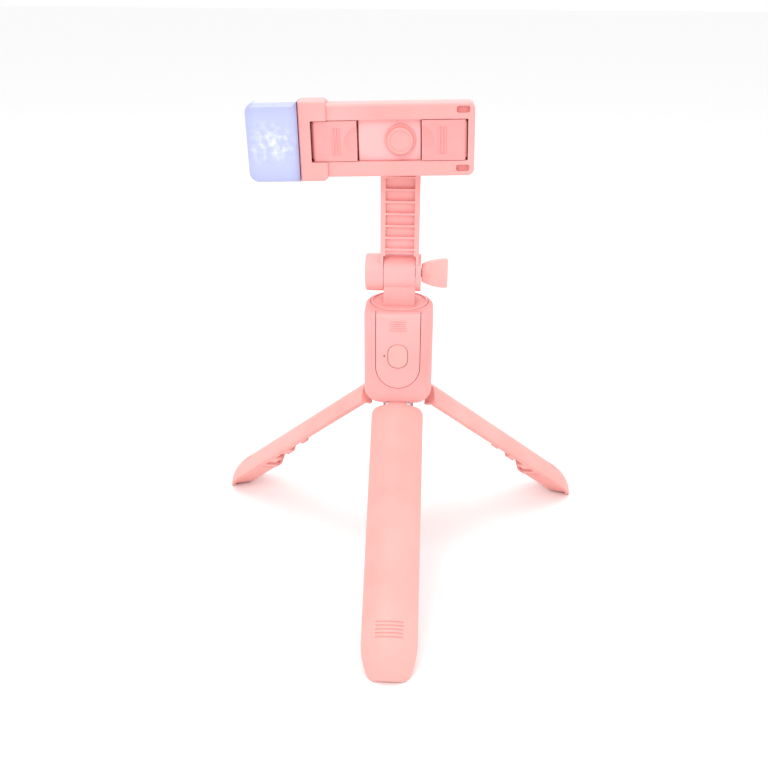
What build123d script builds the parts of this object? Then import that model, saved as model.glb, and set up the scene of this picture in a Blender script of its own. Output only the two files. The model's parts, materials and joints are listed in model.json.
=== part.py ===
from build123d import *
import os
from math import cos, radians, sin, sqrt

os.makedirs("parts", exist_ok=True)

# Tripod selfie stick. Millimetres, +Z up, front towards -Y. The origin is on the
# pole's axis, at the level of the ground that the three open legs stand on.

# ---- clearances
slide_gap = 0.05        # running fit, on the radius
move_gap = 0.3          # between plastic parts that move past each other
part_gap = 0.1          # between plastic parts that are fixed together

# ---- legs
leg_count = 3
splay = 50.2            # swing of an open leg away from the pole, degrees
leg_length = 155.6      # hinge pin to tip
handle_radius = 17.0    # the closed legs make a round handle
leg_wall = 2.0
leg_edge_radius = 13.2  # inner edge of a leg's side walls, from the pole's axis
leg_gap = 0.2           # between a closed leg and the plane that it shares
pin_offset = 13.5       # hinge pins, from the pole's axis
pin_radius = 1.1
pin_length = 14.0
pin_chamfer = 0.6
knuckle_width = 10.6
knuckle_radius = 3.4
shoulder_drop = 6.3     # pin to the leg's shoulder
shoulder_round = 3.6
tip_round = 5.0
dome_length = 19.0      # the closed handle ends in a dome
dome_inset = 6.0
sole_depth = 6.25       # pin line to the point where the tip meets the ground
sole_thickness = 1.2
line_count = 5          # grip lines across each tip
line_pitch = 1.9
line_width = 14.0
line_depth = 0.3
line_start = 127.0      # pin to the first grip line
foot_start = 119.0      # pin to the foot block inside the tip
foot_inset = 1.2
rib_places = ((86.0, 6.0, 9.3), (100.5, 7.5, 7.4), (112.0, 4.0, 1.6))

# ---- pole
tube_radius = 8.9
tube_step = 1.1         # each tube is this much smaller than the one around it
tube_wall = 0.6
tube_count = 4
tube_bottom = 5.0
tube_drop = 7.3         # housing top to the outer tube's top
tube_rise = 0.5         # each inner tube stands this much higher
tube_lip = 2.5
tube_plug = 4.5
glide_length = 18.0

# ---- housing
hinge_height = leg_length * cos(radians(splay)) + sole_depth * sin(radians(splay))
housing_bottom = hinge_height - 3.4
housing_height = 56.3
housing_radius = 19.0
housing_front = 22.0
housing_corner = 9.2
housing_crown = 60.0
housing_wall = 1.6
bottom_round = 8.8
top_round = 2.75
housing_top = housing_bottom + housing_height
hub_bore_wall = 0.85
hub_height = 9.2
hub_mouth = 12.0
screw_x = 13.2
screw_rises = (18.0, 35.5)  # housing bottom to the screws
screw_radius = 1.05
screw_head_radius = 2.0
screw_head = 1.6
screw_length = 16.0
boss_radius = 2.7

# ---- remote control
remote_width = 24.1
remote_length = 43.6
remote_back = -16.6
remote_split = -19.3
remote_wall = 1.2
groove = 0.3            # dark line round the remote
bay_wall = 1.3
button_width = 10.7
button_height = 13.8
button_round = 5.0
button_travel = 0.6
button_flange = 0.5
button_drop = 24.6      # housing top to the button's middle
led_x = -7.4
led_radius = 0.9
pinhole_radius = 0.55
board_thickness = 0.8
board_margin = 1.35     # board's edge to the tray's wall
cell_radius = 6.25
cell_thickness = 1.6
ridge_count = 5
ridge_pitch = 1.3
ridge_drop = 3.2        # housing top to the first ridge
ridge_half = 4.7

# ---- swivel collar and tongue
collar_radius = 15.95
collar_height = 4.9
collar_rise = 0.6       # collar's rim above the housing
rim_width = 1.3
dish_depth = 0.5
post_radius = 2.5
tongue_width = 17.2
tongue_half_depth = 8.5
knuckle_round = 10.25   # tongue, ears and boss, about the tilt axis
tilt_rise = 16.7        # housing top to the tilt axis

# ---- ladder arm
arm_width = 20.8
side_plate = 2.75
ear_thickness = 2.9
arm_front = -8.0
arm_back = 1.0
arm_length = 75.6       # tilt axis to pivot axis
cell_depth = 1.9
crotch_radius = 14.0    # fork's clear round above the tongue
rung_pitch = 6.45
rung_height = 1.2
first_rung = 14.65      # tilt axis to the first rung's lower edge
boss_length = 7.1
bolt_radius = 2.5
nut_flats = 8.0
nut_thickness = 4.0
pivot_boss_radius = 9.0
pivot_radius = 3.5

# ---- wing screw
wing_length = 14.4
wing_neck = 4.1
wing_tip = 8.3
wing_thickness = 7.0
bolt_reach = 6.0        # bolt's end inside the wing

# ---- phone clamp
clamp_roll = 1.5        # the clamp as it stands, turned a little on its pivot
rail_front = -23.6
rail_back = -12.0
rail_half = 17.7
window_half = 10.05
clamp_right = 36.7
window_right = 33.4
cap_left = -50.1
cap_right = -36.2
cap_half = 19.45
cap_front = -25.0
cap_back = -10.7
cap_wall = 1.35
window_left = -44.3
plate_front = -21.2
plate_wall = 1.8
plate_left = -20.8
plate_right = 10.2
floor_front = -16.6
floor_back = -14.6
jaw_length = 22.3
jaw_front = -24.0
jaw_back = -18.6
pad_thickness = 1.4
jaw_barrel = 2.7
jaw_pin_radius = 0.9
lug_half = 1.5
scoop_radius = 7.7
rod_radius = 1.5
rod_height = 14.0
rod_y = -17.8
rod_length = 72.0
spring_length = 11.5
spring_radius = 1.1
spring_wire = 0.2
spring_pitch = 0.9
pocket_width = 6.5
pocket_height = 3.2
pocket_depth = 2.4
knob_radius = 6.45
knob_flange = 7.75
knob_front = -25.2

# ---- fill light
light_length = 25.7
light_gap = 0.3
light_front = -27.3
light_half = 19.45
light_split = -15.8
light_round = 5.0
light_wall = 1.7
light_pivot_radius = 3.1
light_button_radius = 3.0

tube_top = housing_top - tube_drop
screw_heights = [housing_bottom + rise for rise in screw_rises]
tilt_z = housing_top + tilt_rise
pivot_z = tilt_z + arm_length
collar_top = housing_top + collar_rise
collar_bottom = collar_top - collar_height
button_z = housing_top - button_drop
light_middle = (light_front + cap_back) / 2


# ---- helpers

def save(node, shape):
    export_step(shape, f"parts/{node}.step")


def block(x_low, x_high, y_low, y_high, z_low, z_high):
    size = (x_high - x_low, y_high - y_low, z_high - z_low)
    middle = ((x_low + x_high) / 2, (y_low + y_high) / 2, (z_low + z_high) / 2)
    return Pos(*middle) * Box(*size)


def disc(radius, low, high, x=0, y=0):
    return Pos(x, y, (low + high) / 2) * Cylinder(radius, high - low)


def ring(outer, inner, low, high):
    return disc(outer, low, high) - disc(inner, low - 1, high + 1)


def along_x(radius, low, high, y, z):
    return Pos((low + high) / 2, y, z) * Rot(0, 90, 0) * Cylinder(radius, high - low)


def along_y(radius, low, high, x, z):
    return Pos(x, (low + high) / 2, z) * Rot(90, 0, 0) * Cylinder(radius, high - low)


def front_panel(sketch, y_low, y_high):
    # a sketch drawn in X and Z, made solid between two depths
    return extrude(Plane.XZ.offset(-y_high) * sketch, y_high - y_low)


def turned(shape, step):
    return Rot(0, 0, step * 360 / leg_count) * shape


# ---- legs, built closed along the pole and then opened about the pin

def wedge(offset):
    # the third of the circle that one leg has, drawn in by an offset
    reach = 3 * handle_radius
    tip = -offset / sin(radians(60))
    side = reach * sin(radians(60))
    far = tip - reach * cos(radians(60))
    return make_face(Polyline((0, tip), (side, far), (-side, far), close=True))


def sector(offset, inner, outer, low, high):
    flat = Circle(outer) & wedge(offset)
    if inner > 0:
        flat -= Circle(inner)
    return Pos(0, 0, low) * extrude(flat, high - low)


def at_leg(distance):
    return hinge_height - distance


def handle_dome(inset):
    # the outside of the closed handle, with its domed end
    outer = handle_radius - inset
    length = dome_length - inset
    bend = (length ** 2 + dome_inset ** 2) / (2 * dome_inset)
    end = at_leg(leg_length) + inset
    top = hinge_height + 10
    flank = Line((outer, top), (outer, end + length))
    nose = RadiusArc((outer, end + length), (outer - dome_inset, end), bend)
    rest = Polyline((outer - dome_inset, end), (0, end), (0, top), (outer, top))
    return revolve(Plane.XZ * make_face([flank, nose, rest]), Axis.Z)


def leg_front_outline():
    width = 2 * handle_radius * sin(radians(60))
    top = at_leg(shoulder_drop)
    bottom = at_leg(leg_length)
    flat = Pos(0, (top + bottom) / 2) * Rectangle(width, top - bottom)
    upper = flat.vertices().group_by(Axis.Y)[-1]
    flat = fillet(upper, shoulder_round)
    lower = flat.vertices().group_by(Axis.Y)[0]
    return front_panel(fillet(lower, tip_round), -2 * handle_radius, 2)


def opened(shape):
    pin = Pos(0, -pin_offset, hinge_height)
    return pin * Rot(-splay, 0, 0) * Pos(0, pin_offset, -hinge_height) * shape


def above_ground(shape, level):
    reach = 2 * leg_length
    return shape - block(-reach, reach, -reach, reach, -reach, level)


def leg_shell():
    top = at_leg(shoulder_drop)
    bottom = at_leg(leg_length)
    shell = sector(leg_gap, 0, handle_radius, bottom, top)
    shell -= disc(leg_edge_radius, bottom - 1, top + 1) & handle_dome(leg_wall)
    hollow = sector(leg_gap + leg_wall, 0, handle_radius - leg_wall, bottom - 1, top - leg_wall)
    hollow &= handle_dome(leg_wall)
    shell -= hollow
    end_wall = sector(leg_gap, tube_radius + 2 * move_gap, handle_radius, top - leg_wall, top)
    shell += end_wall
    for place, length, inner in rib_places:
        rib = sector(leg_gap, inner, leg_edge_radius + 1, at_leg(place + length), at_leg(place))
        shell += rib - hollow
    shell &= handle_dome(0)
    shell &= leg_front_outline()
    neck = block(-knuckle_width / 2, knuckle_width / 2, -handle_radius,
                 -tube_radius - 2 * move_gap, top - leg_wall, hinge_height)
    knuckle = along_x(knuckle_radius, -knuckle_width / 2, knuckle_width / 2,
                      -pin_offset, hinge_height)
    inner_face = block(-handle_radius, handle_radius, -pin_offset + knuckle_radius, 0,
                       top - leg_wall, hinge_height + 1)
    neck = (neck & disc(handle_radius, 0, 2 * hinge_height)) - inner_face
    shell += neck + knuckle
    shell -= along_x(pin_radius + slide_gap, -knuckle_width, knuckle_width,
                     -pin_offset, hinge_height)
    for n in range(line_count):
        low = at_leg(line_start + n * line_pitch + 0.6)
        groove_ring = ring(handle_radius + 1, handle_radius - line_depth, low, low + 0.6)
        shell -= groove_ring & block(-line_width / 2, line_width / 2, -2 * handle_radius, 0,
                                     low - 1, low + 2)
    return above_ground(opened(shell), 0.35)


def foot_block(low_level, high_level, inset):
    bottom = at_leg(leg_length)
    top = at_leg(foot_start)
    inner = sector(foot_inset + inset, 0, leg_edge_radius, bottom, top)
    outer = sector(leg_gap + leg_wall + part_gap + inset, 0,
                   handle_radius - leg_wall - part_gap - inset, bottom, top)
    whole = (inner + outer) & handle_dome(leg_wall + part_gap + inset) & leg_front_outline()
    reach = 2 * leg_length
    band = block(-reach, reach, -reach, reach, low_level, high_level)
    return opened(whole) & band


def hinge_pin():
    pin = along_x(pin_radius, -pin_length / 2, pin_length / 2, -pin_offset, hinge_height)
    return chamfer(pin.edges().filter_by(GeomType.CIRCLE), pin_chamfer)


save("leg_hinge_pins", Compound(children=[turned(hinge_pin(), n) for n in range(leg_count)]))
one_leg = leg_shell()
one_foot = foot_block(sole_thickness, hinge_height, 0)
one_sole = foot_block(0, sole_thickness, 0.25)
for step, side in enumerate(("front", "right", "left")):
    save(f"leg_{side}", turned(one_leg, step))
    save(f"foot_{side}", turned(one_foot, step))
    save(f"foot_pad_{side}", turned(one_sole, step))


# ---- telescopic pole

def tube_outer(n):
    return tube_radius - n * tube_step


def tube_span(n):
    if n == 0:
        return tube_bottom, tube_top
    return tube_bottom + tube_plug + (n - 1) * tube_rise, tube_top + n * tube_rise


for n in range(tube_count):
    low, high = tube_span(n)
    outer = tube_outer(n)
    tube = ring(outer, outer - tube_wall, low, high)
    if n < tube_count - 1:
        # the mouth is rolled in, to stop the next tube's glide
        tube += ring(outer, tube_outer(n + 1) + slide_gap, high - tube_lip, high)
    save(f"tube_{n + 1}", tube)
    if n > 0:
        room = tube_outer(n - 1) - tube_wall - slide_gap
        save(f"tube_glide_{n + 1}", ring(room, outer, low, low + glide_length))
plug = disc(tube_radius, tube_bottom - 1, tube_bottom)
plug += disc(tube_radius - tube_wall, tube_bottom, tube_bottom + tube_plug - move_gap)
save("pole_end_plug", plug - disc(4, tube_bottom + 1, tube_bottom + tube_plug))


# ---- housing

def housing_outline(inset):
    half = housing_radius - inset
    depth = housing_front - inset
    flat = Circle(half) + Pos(0, -depth / 2) * Rectangle(2 * half, depth)
    flat &= Pos(0, housing_crown - housing_front) * Circle(housing_crown - inset)
    corners = flat.vertices().filter_by(lambda v: v.Y < -depth / 2)
    return fillet(corners, housing_corner - inset)


def housing_solid(inset):
    low = housing_bottom + inset
    high = housing_top - inset
    solid = Pos(0, 0, low) * extrude(housing_outline(inset), high - low)
    solid = fillet(solid.faces().sort_by(Axis.Z)[0].edges(), bottom_round - inset)
    return fillet(solid.faces().sort_by(Axis.Z)[-1].edges(), top_round - inset)


def remote_outline(grow):
    # upright, open at the top and round at the bottom
    half = remote_width / 2 + grow
    middle = housing_top - remote_length + remote_width / 2
    high = housing_top + 10
    flat = Pos(0, middle) * Circle(half)
    return flat + Pos(0, (middle + high) / 2) * Rectangle(2 * half, high - middle)


def leg_slots(inner):
    reach = 2 * handle_radius
    half = knuckle_width / 2 + move_gap
    high = hinge_height + knuckle_radius + 1.2 * move_gap
    slot = block(-half, half, -reach, -inner, housing_bottom - 1, high)
    # outside the pin, the slot's roof slopes as the open leg's outer face does
    slot &= opened(block(-reach, reach, -handle_radius - 1.2 * move_gap, reach, -reach, 2 * high))
    return [turned(slot, n) for n in range(leg_count)]


housing = housing_solid(0)
cavity = housing_solid(housing_wall)
bay_back = remote_back + groove
bay_high = collar_bottom - move_gap
bay = housing & front_panel(remote_outline(groove + bay_wall), -housing_front - 1,
                            bay_back + bay_wall)
bay -= block(-housing_radius, housing_radius, -housing_front - 1, 0, bay_high, housing_top + 1)
bosses = [along_y(boss_radius, -housing_front, housing_front, x, z)
          for x in (-screw_x, screw_x) for z in screw_heights]
shell = housing - cavity
shell += bay
for boss in bosses:
    shell += boss & housing
shell -= front_panel(remote_outline(groove), -housing_front - 1, bay_back)
shell -= disc(collar_radius + move_gap, collar_bottom - 1, housing_top + 1)
shell -= disc(hub_mouth + part_gap, housing_bottom - 1, housing_bottom + 2 * housing_wall)
shell -= block(-4, 4, bay_back - 1, bay_back + bay_wall, bay_high, housing_top + 1)
for n, slot in enumerate(leg_slots(hub_mouth - 3)):
    shell -= slot
    shell -= turned(along_x(pin_radius + part_gap, -pin_length / 2 - part_gap,
                            pin_length / 2 + part_gap, -pin_offset, hinge_height), n)
front_half = block(-50, 50, -50, -part_gap / 2, 0, 2 * housing_top)
back_half = block(-50, 50, part_gap / 2, 50, 0, 2 * housing_top)
front_shell = shell & front_half
back_shell = shell & back_half
screws = []
for x in (-screw_x, screw_x):
    for z in screw_heights:
        surface = sqrt(housing_radius ** 2 - screw_x ** 2)
        seat = surface - screw_head - 0.9
        front_shell -= along_y(screw_radius, seat - screw_length, 1, x, z)
        back_shell -= along_y(screw_radius + part_gap, -1, housing_front, x, z)
        back_shell -= along_y(screw_head_radius + part_gap, seat, housing_front, x, z)
        screw = along_y(screw_radius, seat - screw_length + 1, seat, x, z)
        screw += along_y(screw_head_radius, seat, seat + screw_head, x, z)
        for wide, tall in ((2.4, 0.6), (0.6, 2.4)):
            screw -= Pos(x, seat + screw_head, z) * Box(wide, 1.6, tall)
        screws.append(screw)
save("housing_front", front_shell)
save("housing_back", back_shell)
save("housing_screws", Compound(children=screws))

# leg hub, inside the housing's round bottom
hub_radius = housing_radius - housing_wall - 0.2
hub_low = housing_bottom + housing_wall + part_gap
hub = disc(hub_radius, hub_low, housing_bottom + hub_height)
hub = fillet(hub.faces().sort_by(Axis.Z)[0].edges(), bottom_round - housing_wall - 0.2)
hub += disc(hub_mouth, housing_bottom, hub_low + 1)
hub -= disc(tube_radius + part_gap / 2, 0, housing_top)
for slot in leg_slots(tube_radius + hub_bore_wall):
    hub -= slot
for n in range(leg_count):
    hub -= turned(hinge_pin(), n)
save("leg_hub", hub)

# guide ring that centres the outer tube and carries the collar
guide = ring(hub_radius, tube_radius + part_gap / 2, housing_top - 17, collar_bottom - 0.4)
guide -= block(-50, 50, -50, bay_back + bay_wall + part_gap, 0, 2 * housing_top)
save("pole_guide", guide)


# ---- remote control

remote = (housing & front_panel(remote_outline(0), -housing_front - 1, remote_back))
hollow = housing_solid(remote_wall)
hollow &= front_panel(remote_outline(-remote_wall), -housing_front - 1,
                      remote_back - remote_wall)
cover = remote & block(-50, 50, -50, remote_split, 0, 2 * housing_top)
tray = remote & block(-50, 50, remote_split, 50, 0, 2 * housing_top)
cover -= hollow
tray -= hollow


def button_panel(grow, y_low, y_high):
    flat = RectangleRounded(button_width + 2 * grow, button_height + 2 * grow,
                            button_round + grow)
    return front_panel(Pos(0, button_z) * flat, y_low, y_high)


inner_face = -housing_front + remote_wall
cover -= button_panel(0.25, -housing_front - 1, inner_face + 1)
cover -= along_y(pinhole_radius, -housing_front - 1, inner_face + 1, led_x, button_z)
for n in range(ridge_count):
    z = housing_top - ridge_drop - (n + 1) * ridge_pitch
    cover -= block(-ridge_half, ridge_half, -housing_front - 1, -housing_front + 0.3, z, z + 0.4)
save("remote_cover", cover)
save("remote_tray", tray)
flange_front = inner_face + 0.45
button = button_panel(0, -housing_front + 0.1, flange_front + 0.1)
button = fillet(button.faces().sort_by(Axis.Y)[0].edges(), 0.35)
button += button_panel(0.8, flange_front, flange_front + button_flange)
save("remote_button", button)
board_back = remote_back - remote_wall - part_gap
board_front = board_back - board_thickness
board_top = housing_top - remote_wall - 2
board_low = housing_top - remote_length + remote_width / 2
board_half = remote_width / 2 - remote_wall - board_margin
save("remote_board", block(-board_half, board_half, board_front, board_back, board_low - 4, board_top))
save("remote_cell", along_y(cell_radius, board_front - cell_thickness - part_gap,
                            board_front - part_gap, 0, board_top - cell_radius))
switch_top = flange_front + button_flange + button_travel + part_gap
save("remote_switch", block(-2.5, 2.5, switch_top, board_front, button_z - 2.5, button_z + 2.5))
save("remote_led", along_y(led_radius, inner_face + 0.7, board_front, led_x, button_z))


# ---- swivel: post in the top tube, collar and tongue that turn on it

last = tube_count - 1
post_seat = tube_span(last)[1]
post = disc(tube_outer(last) - tube_wall, post_seat - 9, post_seat)
post += disc(6, post_seat, collar_bottom - part_gap)
post += disc(post_radius, collar_bottom - part_gap, collar_top + 0.9)
post -= disc(1.25, post_seat - 5, collar_top + 2)
save("swivel_post", post)
swivel_screw = disc(1.25, post_seat - 4, collar_top + 1)
swivel_screw += disc(4.2, collar_top + 0.9, collar_top + 2.3)
swivel_screw -= Pos(0, 0, collar_top + 2.3) * Box(3.4, 0.8, 1.4)
swivel_screw -= Pos(0, 0, collar_top + 2.3) * Box(0.8, 3.4, 1.4)
save("swivel_screw", swivel_screw)
collar = disc(collar_radius, collar_bottom, collar_top)
collar = fillet(collar.faces().sort_by(Axis.Z)[-1].edges(), 0.5)
collar -= disc(collar_radius - rim_width, collar_top - dish_depth, collar_top + 1)
collar -= disc(post_radius + slide_gap, 0, 2 * housing_top)
dish = collar_top - dish_depth
tongue_screws = []
for y in (-6.6, 6.6):
    collar -= disc(1.25, 0, 2 * housing_top, 0, y)
    collar -= disc(2.3, 0, collar_bottom + 1.6, 0, y)
    tongue_screw = disc(1.2, collar_bottom + 1.5, dish + 5, 0, y)
    tongue_screw += disc(2.2, collar_bottom + 0.1, collar_bottom + 1.5, 0, y)
    tongue_screws.append(tongue_screw)
save("swivel_collar", collar)
save("tongue_screws", Compound(children=tongue_screws))
half = tongue_width / 2
tongue = along_x(knuckle_round, -half, half, 0, tilt_z)
tongue += block(-half, half, -tongue_half_depth, tongue_half_depth, dish, tilt_z)
tongue -= disc(4.9, dish - 1, collar_top + 3.6)
tongue -= along_x(bolt_radius + slide_gap, -2 * half, 2 * half, 0, tilt_z)
for y in (-6.6, 6.6):
    tongue -= disc(1.2, dish - 1, dish + 5.5, 0, y)
save("tilt_tongue", tongue)


# ---- ladder arm

ear_inner = tongue_width / 2 + 0.2
ear_outer = ear_inner + ear_thickness
arm_top = pivot_z + arm_width / 2
spine = block(-arm_width / 2, arm_width / 2, arm_front, arm_back, tilt_z, pivot_z)
spine += along_y(arm_width / 2, arm_front, arm_back, 0, pivot_z)
ears = along_x(knuckle_round, -ear_outer, ear_outer, 0, tilt_z)
arm = spine + ears
arm -= block(-ear_inner, ear_inner, -20, 20, tilt_z - 20, tilt_z)
arm -= along_x(crotch_radius, -ear_inner, ear_inner, 0, tilt_z)
cell_half = arm_width / 2 - side_plate
arm -= block(-cell_half, cell_half, arm_front - 1, arm_front + cell_depth,
             tilt_z, tilt_z + first_rung)
cell_count = int((arm_length - pivot_boss_radius - first_rung) / rung_pitch)
for n in range(cell_count):
    low = tilt_z + first_rung + n * rung_pitch + rung_height
    arm -= block(-cell_half, cell_half, arm_front - 1, arm_front + cell_depth,
                 low, low + rung_pitch - rung_height)
left_boss = along_x(knuckle_round, -ear_outer - boss_length, -ear_outer + 1, 0, tilt_z)
arm += fillet(left_boss.faces().sort_by(Axis.X)[0].edges(), 1.2)
nut_end = -ear_inner - nut_thickness
nut_shape = RegularPolygon(nut_flats / 2, 6, major_radius=False)
nut_room = RegularPolygon(nut_flats / 2 + part_gap, 6, major_radius=False)
arm -= Pos(nut_end - part_gap, 0, tilt_z) * extrude(Plane.YZ * nut_room, 2 * nut_thickness)
arm -= along_x(bolt_radius + 0.1, nut_end - 3.5, 2 * ear_outer, 0, tilt_z)
arm += along_y(pivot_boss_radius, rail_back + 0.2, arm_front, 0, pivot_z)
arm -= along_y(pivot_radius + 0.02, -50, 50, 0, pivot_z)
arm -= along_y(6.2, arm_back - 2.6, arm_back + 1, 0, pivot_z)
save("ladder_arm", arm)
nut = Pos(nut_end, 0, tilt_z) * extrude(Plane.YZ * nut_shape, nut_thickness - 0.1)
nut -= along_x(bolt_radius + slide_gap, -30, 30, 0, tilt_z)
save("tilt_nut", nut)

# wing screw: a steel bolt with a moulded wing
wing_start = ear_outer + move_gap
wing_end = wing_start + wing_length
bolt = along_x(bolt_radius, nut_end - 2.5, wing_start + bolt_reach, 0, tilt_z)
save("wing_bolt", bolt)
upper = Spline((wing_start, wing_neck), (wing_start + 0.45 * wing_length, wing_tip - 1.3),
               (wing_end, wing_tip), tangents=((0.8, 1), (1, 0)))
outline = make_face([
    upper,
    Line((wing_end, wing_tip), (wing_end, -wing_tip)),
    mirror(upper, Plane.XZ),
    Line((wing_start, -wing_neck), (wing_start, wing_neck))])
wing = Pos(0, wing_thickness / 2, tilt_z) * extrude(Plane.XZ * outline, wing_thickness)
blade = make_face(Polyline((wing_start - 1, -wing_neck), (wing_start - 1, wing_neck),
                           (wing_end + 1, 1.3), (wing_end + 1, -1.3), close=True))
wing &= Pos(0, 0, tilt_z - 20) * extrude(blade, 40)
wing += along_x(wing_neck, wing_start, wing_start + 4.5, 0, tilt_z)
wing -= along_x(bolt_radius, 0, wing_start + bolt_reach, 0, tilt_z)
save("wing_grip", wing)


# ---- phone clamp: every piece is built level and then turned on the pivot

def rolled(shape):
    pivot = Pos(0, 0, pivot_z)
    return pivot * Rot(0, -clamp_roll, 0) * Pos(0, 0, -pivot_z) * shape


def panel(x_low, x_high, half, y_low, y_high):
    return block(x_low, x_high, y_low, y_high, pivot_z - half, pivot_z + half)


rail_left = cap_left + cap_wall + 0.6
frame = panel(rail_left, clamp_right, rail_half, rail_front, rail_back)
right_edges = frame.edges().filter_by(Axis.Y).group_by(Axis.X)[-1]
frame = fillet(right_edges, 3.3)
frame = fillet(frame.faces().sort_by(Axis.Y)[0].edges(), 1.3)
frame -= panel(rail_left - 1, window_right, window_half, rail_front - 1, floor_back + 0.4)
frame -= panel(rail_left - 1, cap_right + 1, window_half, rail_front - 1, rail_back + 1)
rail_bore = rod_radius + slide_gap
for sign in (-1, 1):
    z = pivot_z + sign * rod_height
    frame -= along_x(rail_bore, rail_left - 1, cap_left + rod_length + spring_length, rod_y, z)
pocket = RectangleRounded(pocket_width, pocket_height, 1.1)
pocket_x = clamp_right - 2.5 - pocket_width / 2
for z in (pivot_z + rail_half - 1.5 - pocket_height / 2,
          pivot_z - window_half - 2.1 - pocket_height / 2):
    frame -= front_panel(Pos(pocket_x, z) * pocket, rail_front - 1, rail_front + pocket_depth)
frame -= along_y(pivot_radius + slide_gap, -50, 0, 0, pivot_z)

# the plate that the phone's back faces, with the pivot post through it
plate = panel(plate_left, plate_right, window_half - part_gap, plate_front, floor_back + 0.4)
plate = fillet(plate.edges().filter_by(Axis.Z).group_by(Axis.Y)[0], 0.5)
plate -= panel(plate_left + plate_wall, plate_right - plate_wall, window_half - plate_wall,
               plate_front + plate_wall, 0)
plate += along_y(pivot_radius + 2.5, plate_front + 1, floor_back + 0.4, 0, pivot_z)
plate -= along_y(pivot_radius + slide_gap, -50, 0, 0, pivot_z)
save("clamp_plate", rolled(plate))
post_back = arm_back - 2.6
pivot_post = along_y(pivot_radius, plate_front - 1.6, post_back, 0, pivot_z)
pivot_post += along_y(5.6, post_back, post_back + 2.0, 0, pivot_z)
pivot_post -= Pos(0, post_back + 2, pivot_z) * Box(5, 1.6, 1)
pivot_post -= Pos(0, post_back + 2, pivot_z) * Box(1, 1.6, 5)
save("pivot_post", pivot_post)
knob = along_y(knob_radius, knob_front, plate_front - 0.9, 0, pivot_z)
knob = fillet(knob.faces().sort_by(Axis.Y)[0].edges(), 0.7)
knob -= along_y(knob_radius - 1.4, knob_front - 1, knob_front + 0.3, 0, pivot_z)
knob += along_y(knob_flange, plate_front - 0.9, plate_front - 0.2, 0, pivot_z)
knob -= along_y(pivot_radius, plate_front - 1.6, 0, 0, pivot_z)
save("pivot_knob", knob)

# end cap: slides out to the left on two rods, and carries the left jaw and the light
cap = panel(cap_left, cap_right, cap_half, cap_front, cap_back)
cap = fillet(cap.edges().filter_by(Axis.Y).group_by(Axis.X)[-1], 3.0)
cap = fillet(cap.faces().sort_by(Axis.Y)[0].edges(), 0.9)
room_half = rail_half + 0.2
room = panel(cap_left + cap_wall, cap_right + 9, room_half, rail_front - 0.2, rail_back + 0.2)
cap -= room
cap -= panel(window_left, cap_right + 9, window_half, cap_front - 1, rail_back)
for sign in (-1, 1):
    z = pivot_z + sign * rod_height
    cap -= along_x(rod_radius, cap_left + 0.4, cap_right, rod_y, z)
cap += along_x(light_pivot_radius, cap_left - 5.2, cap_left + 0.5, light_middle, pivot_z)
cap -= along_x(light_pivot_radius - 1.2, cap_left - 6, cap_left + 3, light_middle, pivot_z)
save("clamp_end_cap", rolled(cap))
rods = []
for sign in (-1, 1):
    z = pivot_z + sign * rod_height
    rods.append(rolled(along_x(rod_radius, cap_left + 0.4, cap_left + rod_length, rod_y, z)))
save("slide_rods", Compound(children=rods))
coil_path = Helix(spring_pitch, spring_length - 2 * spring_wire - 0.6, spring_radius)
coil_start = Plane(coil_path @ 0, z_dir=coil_path % 0)
coil = sweep(coil_start * Circle(spring_wire), coil_path, is_frenet=True)
springs = []
for sign in (-1, 1):
    place = Pos(cap_left + rod_length + 0.4, rod_y, pivot_z + sign * rod_height)
    springs.append(rolled(place * Rot(0, 90, 0) * coil))
save("clamp_springs", Compound(children=springs))
tray_right = plate_left - 0.4
jaw_tray = panel(cap_left + cap_wall, tray_right, window_half - move_gap, floor_front, floor_back)
jaw_left_x = window_left + 0.5 + jaw_barrel
jaw_axis_y = jaw_back - jaw_barrel + 0.1


ear_half = window_half - part_gap


def lug_plates(x, y_back):
    # upright ears at both ends of a jaw's barrel, standing on the floor behind it
    plates = []
    for s in (-1, 1):
        z_mid = pivot_z + s * (ear_half - 0.55)
        ear = Pos(x, jaw_axis_y, z_mid) * Cylinder(lug_half, 1.1)
        ear += block(x - lug_half, x + lug_half, jaw_axis_y, y_back, z_mid - 0.55, z_mid + 0.55)
        plates.append(ear)
    return plates


for ear in lug_plates(jaw_left_x, floor_front + 0.5):
    jaw_tray += ear
jaw_right_x = window_right - 0.5 - jaw_barrel
right_floor = panel(plate_right + 0.3, window_right + 0.5, window_half, floor_front,
                    floor_back + 0.5)
frame += right_floor
for ear in lug_plates(jaw_right_x, floor_front + 0.5):
    frame += ear
for x in (jaw_left_x, jaw_right_x):
    bore = Pos(x, jaw_axis_y, pivot_z) * Cylinder(jaw_pin_radius, 2 * ear_half)
    if x < 0:
        jaw_tray -= bore
    else:
        frame -= bore
save("clamp_frame", rolled(frame))
save("jaw_tray", rolled(jaw_tray))


# ---- jaws, folded flat; each swings out on a pin at its outer end

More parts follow.
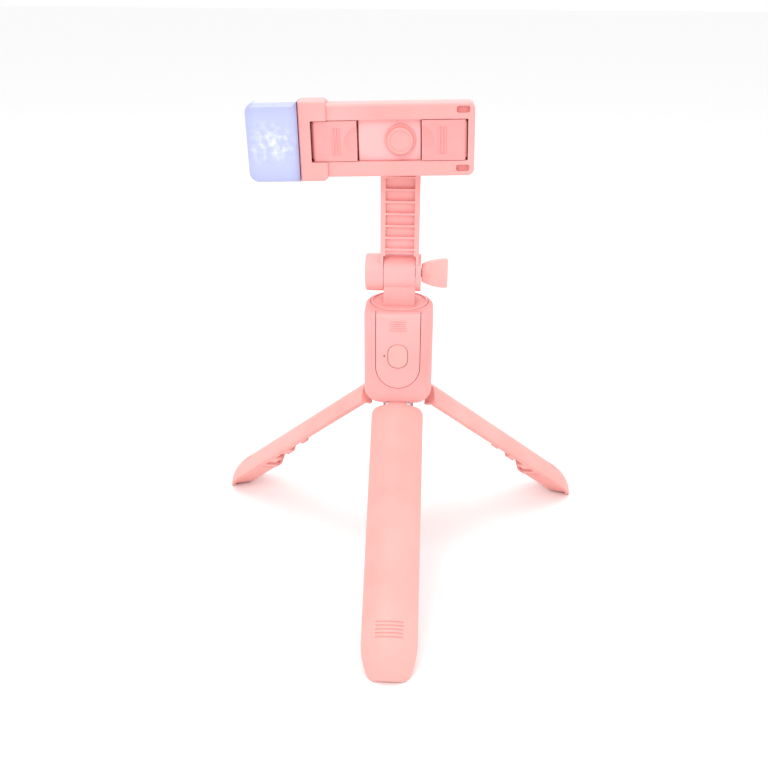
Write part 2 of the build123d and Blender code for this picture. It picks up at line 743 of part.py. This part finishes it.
def jaw(sign):
    # built with its pin at x = 0 and its free end towards +X, then mirrored to its side
    half_z = ear_half - 1.1 - 0.15
    free = jaw_length - jaw_barrel
    flat = block(0, free, jaw_front, jaw_back, -half_z, half_z)
    flat = fillet(flat.edges().filter_by(Axis.Z).group_by(Axis.X)[-1], 1.0)
    shape = flat + disc(jaw_barrel, -half_z, half_z, 0, jaw_axis_y)
    shape += block(-jaw_barrel, free / 2, jaw_front + 1.6, jaw_axis_y, -half_z, half_z)
    shape = fillet(shape.edges().filter_by(Axis.Y).group_by(Axis.X)[-1], 0.8)
    full_z = window_half - 0.25
    shape += block(lug_half + move_gap, free, jaw_front, jaw_back - 0.6, -full_z, full_z)
    # a thin front covers the lugs
    front = block(-jaw_barrel, 0, jaw_front, jaw_axis_y - lug_half - move_gap, -full_z, full_z)
    front &= disc(jaw_axis_y - jaw_front, -full_z, full_z, 0, jaw_axis_y)
    shape += front + block(0, free, jaw_front, jaw_axis_y - lug_half - move_gap, -full_z, full_z)
    scoop = Pos(free + 1.2, jaw_front - 9.2, 0) * Sphere(11.8)
    shape -= scoop & along_y(scoop_radius, jaw_front - 1, jaw_front + 2, free, 0)
    for n in range(3):
        x = 7.6 + 1.4 * n
        shape += block(x, x + 0.7, jaw_front - 0.25, jaw_front + 1, -6.5, 6.5)
    shape -= disc(jaw_pin_radius + slide_gap, -50, 50, 0, jaw_axis_y)
    pad = block(4.0, free - 1.2, jaw_back, jaw_back + pad_thickness, -7.6, 7.6)
    pad = fillet(pad.edges().filter_by(Axis.Y), 1.2)
    pin = disc(jaw_pin_radius, -ear_half, ear_half, 0, jaw_axis_y)
    placed = []
    for piece in (shape, pad, pin):
        if sign < 0:
            piece = mirror(piece, Plane.YZ)
        x = jaw_left_x if sign > 0 else jaw_right_x
        placed.append(rolled(Pos(x, 0, pivot_z) * piece))
    return placed


for side, sign in (("left", 1), ("right", -1)):
    shape, pad, pin = jaw(sign)
    save(f"jaw_{side}", shape)
    save(f"jaw_pad_{side}", pad)
    save(f"jaw_pin_{side}", pin)


# ---- fill light

light_right = cap_left - light_gap
light_left = light_right - light_length
light = panel(light_left, light_right, light_half, light_front, cap_back)
light = fillet(light.edges().filter_by(Axis.Y).group_by(Axis.X)[0], light_round)
light = fillet(light.faces().sort_by(Axis.Y)[0].edges(), 2.6)
inside = panel(light_left + light_wall, light_right - light_wall, light_half - light_wall,
               light_front + light_wall, cap_back - light_wall)
inside = fillet(inside.edges().filter_by(Axis.Y).group_by(Axis.X)[0], light_round - light_wall)
hollow_light = light - inside
hollow_light -= along_x(light_pivot_radius + slide_gap, light_right - 4, light_right + 1,
                        light_middle, pivot_z)
diffuser = hollow_light & block(-200, 200, -50, light_split, 0, 500)
light_back = hollow_light & block(-200, 200, light_split, 50, 0, 500)
light_button_x = (light_left + light_right) / 2
light_button_z = pivot_z + 9
light_back -= along_y(light_button_radius + 0.2, light_split, 0, light_button_x, light_button_z)
port = RectangleRounded(9.1, 3.3, 1.6)
port_y = light_split + 1.65
port_low = pivot_z - light_half
port_cut = Pos(light_button_x, port_y, port_low - 1) * extrude(port, light_wall + 1.6)
light_back -= port_cut
save("light_diffuser", rolled(diffuser))
save("light_back", rolled(light_back))
port_shell = RectangleRounded(9.0, 3.2, 1.55) - RectangleRounded(8.4, 2.6, 1.25)
port_body = extrude(port_shell, 7.0) + Pos(0, 0, 6) * extrude(RectangleRounded(9.0, 3.2, 1.55), 1)
port_body += Pos(0, 0, 1.2) * extrude(Rectangle(6.4, 0.7), 5)
save("charge_port", rolled(Pos(light_button_x, port_y, port_low + 0.3) * port_body))
board_y = light_front + 5.5
board_left = light_left + light_wall + 1.5
board_right = cap_left - 7.0
light_board = panel(board_left, board_right, light_half - 4, board_y, board_y + 1.2)
for i in range(4):
    for j in range(4):
        light_board += along_y(1.3, board_y - 0.9, board_y + 0.1,
                               board_left + 2.5 + 3.6 * i, pivot_z - 10.5 + 7 * j)
save("light_board", rolled(light_board))
save("light_battery", rolled(panel(board_left, board_right - 1, 12, board_y + 1.6,
                                   light_split + 0.4)))
light_button = along_y(light_button_radius, cap_back - light_wall - 0.4, cap_back - 0.15,
                       light_button_x, light_button_z)
light_button += along_y(light_button_radius + 0.9, cap_back - light_wall - 0.9,
                        cap_back - light_wall - 0.1, light_button_x, light_button_z)
save("light_button", rolled(light_button))
clip = along_x(light_pivot_radius + 2, cap_left - 5.0, cap_left - 4.0, light_middle, pivot_z)
clip -= along_x(light_pivot_radius, -200, 0, light_middle, pivot_z)
save("light_clip", rolled(clip))
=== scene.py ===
import json
import math
import bmesh
import bpy
from mathutils import Matrix, Vector


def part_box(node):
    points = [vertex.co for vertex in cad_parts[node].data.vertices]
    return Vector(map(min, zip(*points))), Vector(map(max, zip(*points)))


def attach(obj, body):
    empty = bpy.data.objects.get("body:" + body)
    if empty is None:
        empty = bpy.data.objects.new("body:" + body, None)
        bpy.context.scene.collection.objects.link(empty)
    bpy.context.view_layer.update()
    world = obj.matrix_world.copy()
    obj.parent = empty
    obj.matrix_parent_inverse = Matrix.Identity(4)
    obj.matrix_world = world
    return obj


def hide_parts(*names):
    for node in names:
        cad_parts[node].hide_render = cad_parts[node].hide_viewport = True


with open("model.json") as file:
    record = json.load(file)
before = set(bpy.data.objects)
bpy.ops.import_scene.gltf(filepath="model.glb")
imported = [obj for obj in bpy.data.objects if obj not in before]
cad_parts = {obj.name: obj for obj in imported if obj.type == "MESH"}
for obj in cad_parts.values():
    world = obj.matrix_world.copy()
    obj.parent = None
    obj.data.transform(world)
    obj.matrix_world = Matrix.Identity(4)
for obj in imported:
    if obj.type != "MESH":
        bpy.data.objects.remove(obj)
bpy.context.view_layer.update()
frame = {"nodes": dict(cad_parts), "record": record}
nodes = frame["nodes"]
print("frame loaded,", len(nodes), "nodes")


class Value:
    # one output socket, so that shader maths can be written as an expression
    def __init__(self, finish, socket):
        self.finish = finish
        self.socket = socket

    def join(self, operation, first, second):
        return self.finish.node("ShaderNodeMath", {"operation": operation}, {0: first, 1: second})

    def __add__(self, other):
        return self.join("ADD", self, other)

    def __radd__(self, other):
        return self.join("ADD", other, self)

    def __sub__(self, other):
        return self.join("SUBTRACT", self, other)

    def __rsub__(self, other):
        return self.join("SUBTRACT", other, self)

    def __mul__(self, other):
        return self.join("MULTIPLY", self, other)

    def __rmul__(self, other):
        return self.join("MULTIPLY", other, self)


class Finish:
    def __init__(self, name, **shader):
        self.material = bpy.data.materials.new(name)
        self.material.use_nodes = True
        self.tree = self.material.node_tree
        self.surface = self.tree.nodes["Principled BSDF"]
        self.place = self.node("ShaderNodeTexCoord", out="Object")
        for socket, value in shader.items():
            self.set(socket.replace("_", " "), value)

    def node(self, kind, settings=None, inputs=None, out=0):
        made = self.tree.nodes.new(kind)
        for key, value in (settings or {}).items():
            setattr(made, key, value)
        for key, value in (inputs or {}).items():
            self.feed(made.inputs[key], value)
        return Value(self, made.outputs[out])

    def feed(self, socket, value):
        if isinstance(value, Value):
            self.tree.links.new(value.socket, socket)
        else:
            socket.default_value = value

    def set(self, socket, value):
        self.feed(self.surface.inputs[socket], value)

    def noise(self, scale, detail=2.0, stretch=(1, 1, 1)):
        place = self.node("ShaderNodeMapping", None, {"Vector": self.place, "Scale": stretch})
        return self.node("ShaderNodeTexNoise", None,
                         {"Vector": place, "Scale": scale, "Detail": detail}, out="Fac")

    def between(self, value, low, high):
        # 0 below low, 1 above high
        return self.node("ShaderNodeMapRange", None,
                         {"Value": value, "From Min": low, "From Max": high})

    def blend(self, amount, first, second):
        return self.node("ShaderNodeMix", {"data_type": "RGBA"},
                         {0: amount, 6: first, 7: second}, out=2)

    def relief(self, height, strength, depth, edge):
        # edge is the radius that sharp corners seem to have
        rounded = self.node("ShaderNodeBevel", {"samples": 4}, {"Radius": edge})
        self.set("Normal", self.node("ShaderNodeBump", None,
                                     {"Height": height, "Strength": strength,
                                      "Distance": depth, "Normal": rounded}))


def screenColour(red, green, blue):
    # the colour as it is picked on a screen, 0 to 255
    def linear(level):
        level /= 255
        return level / 12.92 if level <= 0.04045 else ((level + 0.055) / 1.055) ** 2.4
    return (linear(red), linear(green), linear(blue), 1)


mouldedPinks = {
    "housing": dict(base=(243, 168, 165), deep=(236, 157, 154), rough=0.46, edge=0.0005),
    "remote": dict(base=(246, 174, 171), deep=(239, 163, 160), rough=0.42, edge=0.0003),
    "button": dict(base=(240, 178, 173), deep=(232, 167, 161), rough=0.38, edge=0.0003),
    "leg": dict(base=(248, 176, 169), deep=(241, 164, 157), rough=0.5, edge=0.0004),
    "head": dict(base=(248, 179, 176), deep=(240, 166, 163), rough=0.46, edge=0.0004),
    "clamp": dict(base=(247, 174, 171), deep=(239, 162, 158), rough=0.46, edge=0.0004),
    "jaw": dict(base=(241, 164, 162), deep=(234, 153, 151), rough=0.44, edge=0.0004),
    "wing": dict(base=(250, 183, 178), deep=(243, 170, 165), rough=0.44, edge=0.0005),
}


def mouldedPlastic(name, look):
    # satin moulded plastic: soft clouding from the melt, and a fine spark-eroded grain
    finish = Finish(name + "Plastic", Specular_IOR_Level=0.42)
    cloud = finish.noise(32.0, 3.0)
    grain = finish.noise(2400.0, 2.0)
    handled = finish.between(finish.noise(70.0, 4.0), 0.56, 0.74)
    finish.set("Base Color", finish.blend(finish.between(cloud * 0.8 + grain * 0.2, 0.35, 0.65),
                                          screenColour(*look["deep"]), screenColour(*look["base"])))
    finish.set("Roughness",
               look["rough"] + (cloud - 0.5) * 0.12 + (grain - 0.5) * 0.1 - handled * 0.07)
    finish.relief(grain, 0.22, 0.00006, look["edge"])
    return finish.material


def glossyPlastic(name, base, deep, rough, edge):
    # polished plate, with faint fine scratches
    finish = Finish(name, Coat_Roughness=0.08)
    cloud = finish.noise(45.0, 3.0)
    scratch = finish.between(finish.noise(500.0, 2.0, (0.05, 1, 1)), 0.6, 0.75)
    finish.set("Base Color", finish.blend(cloud, screenColour(*deep), screenColour(*base)))
    finish.set("Roughness", rough + scratch * 0.08 + (cloud - 0.5) * 0.06)
    finish.set("Coat Weight", 0.5 - scratch * 0.2)
    finish.relief(scratch, 0.1, 0.00003, edge)
    return finish.material


def metal(name, base, deep, rough, stretch, edge=0.0002):
    # drawn or plated steel, its lines along the direction that the stretch leaves long
    finish = Finish(name, Metallic=1.0)
    lines = finish.noise(1400.0, 3.0, stretch)
    stain = finish.noise(60.0, 4.0)
    finish.set("Base Color", finish.blend(stain, screenColour(*deep), screenColour(*base)))
    finish.set("Roughness", rough + (lines - 0.5) * 0.16 + (stain - 0.5) * 0.12)
    finish.relief(lines, 0.12, 0.00003, edge)
    return finish.material


def softRubber(name, base, deep):
    finish = Finish(name, Specular_IOR_Level=0.3)
    pores = finish.noise(1500.0, 4.0)
    dust = finish.between(finish.noise(120.0, 4.0), 0.5, 0.72)
    finish.set("Base Color", finish.blend(dust, screenColour(*deep), screenColour(*base)))
    finish.set("Roughness", 0.74 + (pores - 0.5) * 0.14 + dust * 0.08)
    finish.relief(pores, 0.35, 0.0001, 0.0003)
    return finish.material


def circuitBoard(name):
    # solder mask with copper runs under it
    finish = Finish(name, Specular_IOR_Level=0.5)
    runs = finish.node("ShaderNodeTexBrick", None,
                       {"Vector": finish.place, "Scale": 420.0, "Mortar Size": 0.03,
                        "Color1": (0, 0, 0, 1), "Color2": (0, 0, 0, 1), "Mortar": (1, 1, 1, 1)})
    cloud = finish.noise(90.0, 3.0)
    mask = finish.blend(cloud, screenColour(26, 84, 50), screenColour(36, 104, 62))
    finish.set("Base Color", finish.blend(runs, mask, screenColour(70, 148, 84)))
    finish.set("Roughness", 0.32 + cloud * 0.12)
    finish.relief(runs, 0.2, 0.00004, 0.0001)
    return finish.material


def milkyDiffuser(name, look):
    # translucent cover: its colour has painted highlight blotches in the middle and painted shade
    # towards its edges
    finish = Finish(name, IOR=1.46)
    low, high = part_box("light_diffuser")
    centre = [(a + b) / 2 for a, b in zip(low, high)]
    stretch = [1 / (b - a) for a, b in zip(low, high)]  # the cover runs from -0.5 to 0.5 each way
    local = finish.node("ShaderNodeMapping", {"vector_type": "POINT"},
                        {"Vector": finish.place,
                         "Location": [-c * s for c, s in zip(centre, stretch)],
                         "Scale": stretch})
    across = finish.node("ShaderNodeSeparateXYZ", None, {"Vector": local}, out="X")
    upright = finish.node("ShaderNodeSeparateXYZ", None, {"Vector": local}, out="Z")
    across = finish.node("ShaderNodeMath", {"operation": "ABSOLUTE"}, {0: across})
    upright = finish.node("ShaderNodeMath", {"operation": "ABSOLUTE"}, {0: upright})
    # painted shade: the cover's colour is made greyer towards its edges, where it turns from the light
    rim = finish.between(across, 0.3, 0.5) * 0.6 + finish.between(upright, 0.32, 0.5) * 0.6
    blotch = finish.between(finish.noise(300.0, 4.0), 0.44, 0.74)
    # painted highlight: white blotches painted into the middle of the cover's colour
    highlightMask = blotch * (1 - finish.between(across, 0.2, 0.5)) * (1 - finish.between(upright, 0.02, 0.3))
    body = finish.blend(rim, screenColour(*look["body"]), screenColour(*look["rim"]))
    finish.set("Base Color", finish.blend(highlightMask, body, screenColour(*look["paintedHighlight"])))
    finish.set("Roughness", 0.2 + blotch * 0.08)
    finish.set("Coat Weight", 0.35 + highlightMask * 0.2)
    finish.relief(finish.noise(700.0, 2.0), 0.06, 0.00005, 0.0006)
    return finish.material


# the cover's own colour, its painted edge shade, and its painted highlight colour
diffuserLook = {"body": (186, 193, 236), "rim": (170, 173, 212), "paintedHighlight": (242, 244, 254)}
nylonLook = dict(base=(228, 225, 218), deep=(212, 208, 200), rough=0.5, edge=0.0002)
finishes = {slot: mouldedPlastic(slot, look) for slot, look in mouldedPinks.items()}
finishes["plate"] = glossyPlastic("platePlastic", (253, 190, 190), (250, 178, 178), 0.16, 0.0004)
finishes["light_case"] = glossyPlastic("lightCasePlastic", (240, 240, 248), (228, 229, 240), 0.3, 0.0005)
finishes["diffuser"] = milkyDiffuser("milkyDiffuser", diffuserLook)
finishes["tube"] = metal("drawnTube", (205, 205, 209), (186, 187, 192), 0.24, (1, 1, 0.02))
finishes["steel"] = metal("platedSteel", (190, 191, 195), (158, 160, 166), 0.32, (1, 1, 1))
finishes["battery"] = metal("foilPouch", (196, 199, 206), (170, 173, 182), 0.38, (1, 1, 1), 0.0006)
finishes["rubber"] = softRubber("soleRubber", (214, 148, 143), (190, 124, 120))
finishes["nylon"] = mouldedPlastic("nylon", nylonLook)
finishes["board"] = circuitBoard("circuitBoard")
finishes["led"] = glossyPlastic("ledLens", (250, 246, 214), (238, 230, 186), 0.12, 0.0003)
print("finishes made:", len(finishes))

for part in frame["record"]["subparts"]:
    mesh = nodes[part["node"]].data
    mesh.materials.clear()
    mesh.materials.append(finishes[part["material_slot"]])
print("finishes on every node")


wing = {
    "cuts": 7,
    "neck": 0.5,        # height at the hub, as a share of the height at the end
    "thin": 0.6,        # share of the depth that is gone at the end
    "ridge": 0.3,       # share of the depth that is gone along the top and bottom
    "hub": 0.0046,
    "hubSides": 40,
    "edge": 0.0006,
    "edgeSteps": 3,
    "smoothing": 2,
}


def makeWing():
    # the thumb wing of the tilt screw: a block that flares towards its end and thins there
    low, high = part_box("wing_grip")
    middle = [(a + b) / 2 for a, b in zip(low, high)]
    length, depth, height = [b - a for a, b in zip(low, high)]
    bm = bmesh.new()
    bmesh.ops.create_cube(bm, size=1.0)
    bmesh.ops.subdivide_edges(bm, edges=bm.edges[:], cuts=wing["cuts"], use_grid_fill=True)
    for vert in bm.verts:
        along = vert.co.x + 0.5
        flare = wing["neck"] + (1 - wing["neck"]) * (1 - (1 - along) ** 2)
        ridge = 1 - wing["ridge"] * along * abs(vert.co.z) * 2
        vert.co = (low[0] + along * length,
                   middle[1] + vert.co.y * depth * (1 - wing["thin"] * along) * ridge,
                   middle[2] + vert.co.z * height * flare)
    hub = bmesh.ops.create_cone(bm, cap_ends=True, segments=wing["hubSides"], radius1=depth / 2,
                                radius2=depth / 2, depth=wing["hub"])
    bmesh.ops.rotate(bm, verts=hub["verts"], cent=(0, 0, 0),
                     matrix=Matrix.Rotation(math.pi / 2, 3, "Y"))
    bmesh.ops.translate(bm, verts=hub["verts"],
                        vec=(low[0] + wing["hub"] / 2, middle[1], middle[2]))
    # a rim edge lies between the hub's round end face and one of its side faces
    hubVerts = set(hub["verts"])
    rims = []
    for edge in bm.edges:
        corners = sorted(len(face.verts) for face in edge.link_faces)
        if set(edge.verts) <= hubVerts and corners == [4, wing["hubSides"]]:
            rims.append(edge)
    bmesh.ops.bevel(bm, geom=rims, offset=wing["edge"], offset_type="OFFSET", affect="EDGES",
                    segments=wing["edgeSteps"], profile=0.5, material=-1)
    bmesh.ops.recalc_face_normals(bm, faces=bm.faces[:])
    mesh = bpy.data.meshes.new("wingGrip")
    bm.to_mesh(mesh)
    bm.free()
    for face in mesh.polygons:
        face.use_smooth = True
    grip = bpy.data.objects.new("wingGrip", mesh)
    bpy.context.scene.collection.objects.link(grip)
    softened = grip.modifiers.new("soften", "SUBSURF")
    softened.levels = wing["smoothing"]
    softened.render_levels = wing["smoothing"]
    mesh.materials.append(finishes["wing"])
    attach(grip, "wing_screw")
    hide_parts("wing_grip")


makeWing()
print("thumb wing made")


camera = {
    "at": (0.01286, -0.48669, 0.3336),
    "right": (0.99894, 0.04587, 0.00469),
    "up": (-0.02368, 0.42315, 0.90575),
    "ahead": (-0.03956, 0.90490, -0.42378),
    "lens": 43.2,
    "sensor": 36,
    "near": 0.01,
}


def makeCamera():
    data = bpy.data.cameras.new("camera")
    data.lens = camera["lens"]
    data.sensor_width = camera["sensor"]
    data.dof.use_dof = False
    data.clip_start = camera["near"]
    holder = bpy.data.objects.new("camera", data)
    bpy.context.scene.collection.objects.link(holder)
    back = [-v for v in camera["ahead"]]
    turn = Matrix((camera["right"], camera["up"], back)).transposed()
    holder.matrix_world = Matrix.Translation(camera["at"]) @ turn.to_4x4()
    bpy.context.scene.camera = holder


studio = {
    "lamps": {
        "key": dict(at=(-0.35, -0.8, 1.0), size=0.5, power=3.4),
        "fill": dict(at=(0.8, -0.6, 0.6), size=0.8, power=0.6),
        "top": dict(at=(0.0, 0.05, 1.2), size=0.6, power=3.0),
        "back": dict(at=(0.1, 1.0, 0.8), size=0.9, power=1.4),
    },
    "aim": (0, 0, 0.14),
    "world": 1.0,
}


def makeStudio():
    for name, look in studio["lamps"].items():
        data = bpy.data.lights.new(name, "AREA")
        data.size = look["size"]
        data.energy = look["power"]
        holder = bpy.data.objects.new(name, data)
        holder.location = look["at"]
        aim = Vector(studio["aim"]) - Vector(look["at"])
        holder.rotation_euler = aim.to_track_quat("-Z", "Y").to_euler()
        bpy.context.scene.collection.objects.link(holder)
    bpy.context.scene.view_settings.view_transform = "Standard"
    world = bpy.data.worlds.new("studio")
    world.use_nodes = True
    world.node_tree.nodes["Background"].inputs["Color"].default_value = (1, 1, 1, 1)
    world.node_tree.nodes["Background"].inputs["Strength"].default_value = studio["world"]
    bpy.context.scene.world = world


floorLook = {
    "half": 6.0,
    "below": 0.0002,
    "dull": (0.95, 0.95, 0.95, 1),
    "pale": (0.97, 0.97, 0.97, 1),
}


def makeFloor():
    bm = bmesh.new()
    bmesh.ops.create_grid(bm, x_segments=1, y_segments=1, size=floorLook["half"])
    bmesh.ops.translate(bm, verts=bm.verts, vec=(0, 0, -floorLook["below"]))
    mesh = bpy.data.meshes.new("floor")
    bm.to_mesh(mesh)
    bm.free()
    floor = bpy.data.objects.new("floor", mesh)
    bpy.context.scene.collection.objects.link(floor)
    paper = Finish("paperFloor", Roughness=0.9, Specular_IOR_Level=0.1)
    paper.set("Base Color",
              paper.blend(paper.noise(20.0, 3.0), floorLook["dull"], floorLook["pale"]))
    mesh.materials.append(paper.material)


makeCamera()
makeStudio()
makeFloor()
print("camera, lights and floor placed")
